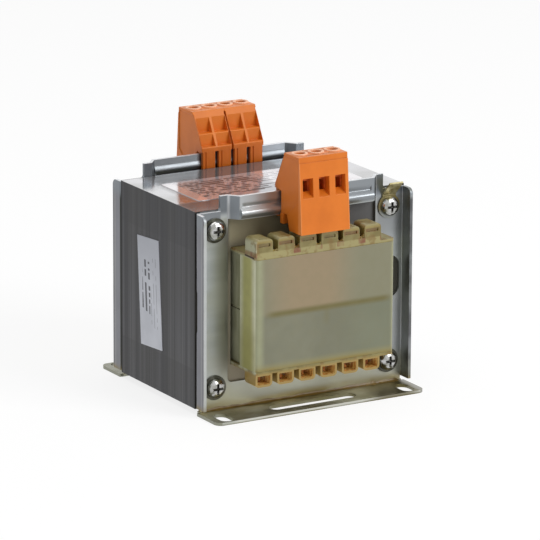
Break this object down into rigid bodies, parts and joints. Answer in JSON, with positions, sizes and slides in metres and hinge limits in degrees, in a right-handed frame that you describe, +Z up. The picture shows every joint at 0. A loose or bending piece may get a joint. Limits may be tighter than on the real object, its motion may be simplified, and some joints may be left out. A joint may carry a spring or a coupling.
{
  "type": "laminated chassis transformer",
  "caption": "Laminated core transformer with clamping brackets on slotted feet, a shrouded coil and orange clip-on terminal blocks.",
  "frame": {"origin": "middle of the footprint, on the floor plane under the feet", "axes": "+X to the right along the core's width, +Y from the front bracket to the back bracket through the stack, +Z up through the terminal blocks"},
  "size_m": [0.0962, 0.1054, 0.1049],
  "materials": {
    "core": "varnished silicon steel, satin",
    "sheet": "zinc plated sheet, light grain",
    "former": "glass-filled moulding under amber varnish",
    "cover": "thin moulding under varnish",
    "copper": "enamelled copper wire, varnished",
    "wrap": "insulating wrap soaked in varnish",
    "block": "orange moulding, satin",
    "clamp": "zinc plated",
    "tin": "tinned brass",
    "screw": "bright zinc plated steel",
    "brass": "bare brass",
    "plate": "glossy foil plate, printed with marks only",
    "label": "matt label, printed with marks only"
  },
  "bodies": {
    "root": {"e_laminations": "core", "i_laminations": "core", "front_bracket": "sheet", "back_bracket": "sheet", "coil_former": "former", "upper_winding": "copper", "lower_winding": "copper", "upper_wrap": "wrap", "lower_wrap": "wrap", "front_coil_cover": "cover", "back_coil_cover": "cover", "solder_pins": "tin", "terminal_block_front": "block", "terminal_block_back_left": "block", "terminal_block_back_right": "block", "clamp_cages": "clamp", "clamp_screws": "clamp", "contact_tails": "tin", "lead_wires": "copper", "core_screws": "screw", "head_washers": "clamp", "nut_washers": "clamp", "nuts": "clamp", "earth_tab": "brass", "rating_plate": "plate", "side_label": "label"}
  },
  "joints": []
}
